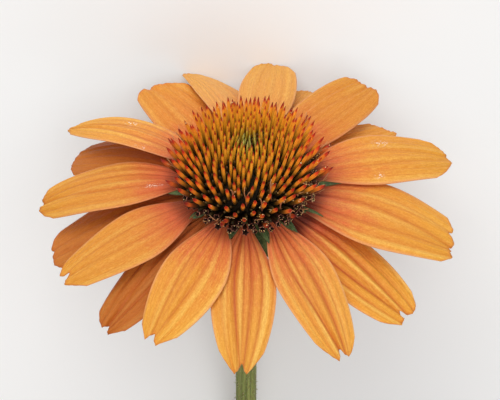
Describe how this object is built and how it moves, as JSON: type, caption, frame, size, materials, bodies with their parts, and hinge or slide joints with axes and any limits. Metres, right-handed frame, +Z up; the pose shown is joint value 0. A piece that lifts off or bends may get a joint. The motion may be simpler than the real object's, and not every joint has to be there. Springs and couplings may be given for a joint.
{
  "type": "cut coneflower stem",
  "caption": "Orange coneflower cut with its stem and leaves, lying on a flat surface: drooping ray petals around a domed, spiny cone, with the face turned up.",
  "frame": {"origin": "on the surface that the stem lies on, under the middle of the whole part", "axes": "+Z up from the surface, +Y from the flower head to the cut end of the stem, +X to the side so that the frame is right-handed"},
  "size_m": [0.1441, 0.222, 0.086],
  "materials": {
    "petal": "soft satin petal, finely ribbed along its length, salmon at the base and golden orange at the tip",
    "floret": "satin orange spines with dark red tips over dark brown florets",
    "receptacle": "dull green",
    "bract": "dull dark green with fine hairs",
    "stem": "dull green with stiff pale hairs",
    "leaf": "matt dark green, rough, with three main veins"
  },
  "bodies": {
    "root": {"receptacle": "receptacle", "floret_ring_1": "floret", "floret_ring_2": "floret", "floret_ring_3": "floret", "floret_ring_4": "floret", "floret_ring_5": "floret", "petal_upper_1": "petal", "petal_upper_2": "petal", "petal_upper_3": "petal", "petal_upper_4": "petal", "petal_upper_5": "petal", "petal_upper_6": "petal", "petal_upper_7": "petal", "petal_upper_8": "petal", "petal_upper_9": "petal", "petal_upper_10": "petal", "petal_lower_1": "petal", "petal_lower_2": "petal", "petal_lower_3": "petal", "petal_lower_4": "petal", "petal_lower_5": "petal", "petal_lower_6": "petal", "petal_lower_7": "petal", "petal_lower_8": "petal", "bract_inner_1": "bract", "bract_inner_2": "bract", "bract_inner_3": "bract", "bract_inner_4": "bract", "bract_inner_5": "bract", "bract_inner_6": "bract", "bract_inner_7": "bract", "bract_inner_8": "bract", "bract_inner_9": "bract", "bract_inner_10": "bract", "bract_inner_11": "bract", "bract_inner_12": "bract", "bract_inner_13": "bract", "bract_outer_1": "bract", "bract_outer_2": "bract", "bract_outer_3": "bract", "bract_outer_4": "bract", "bract_outer_5": "bract", "bract_outer_6": "bract", "bract_outer_7": "bract", "bract_outer_8": "bract", "bract_outer_9": "bract", "stem": "stem", "leaf_1": "leaf", "leaf_2": "leaf", "leaf_3": "leaf"}
  },
  "joints": []
}
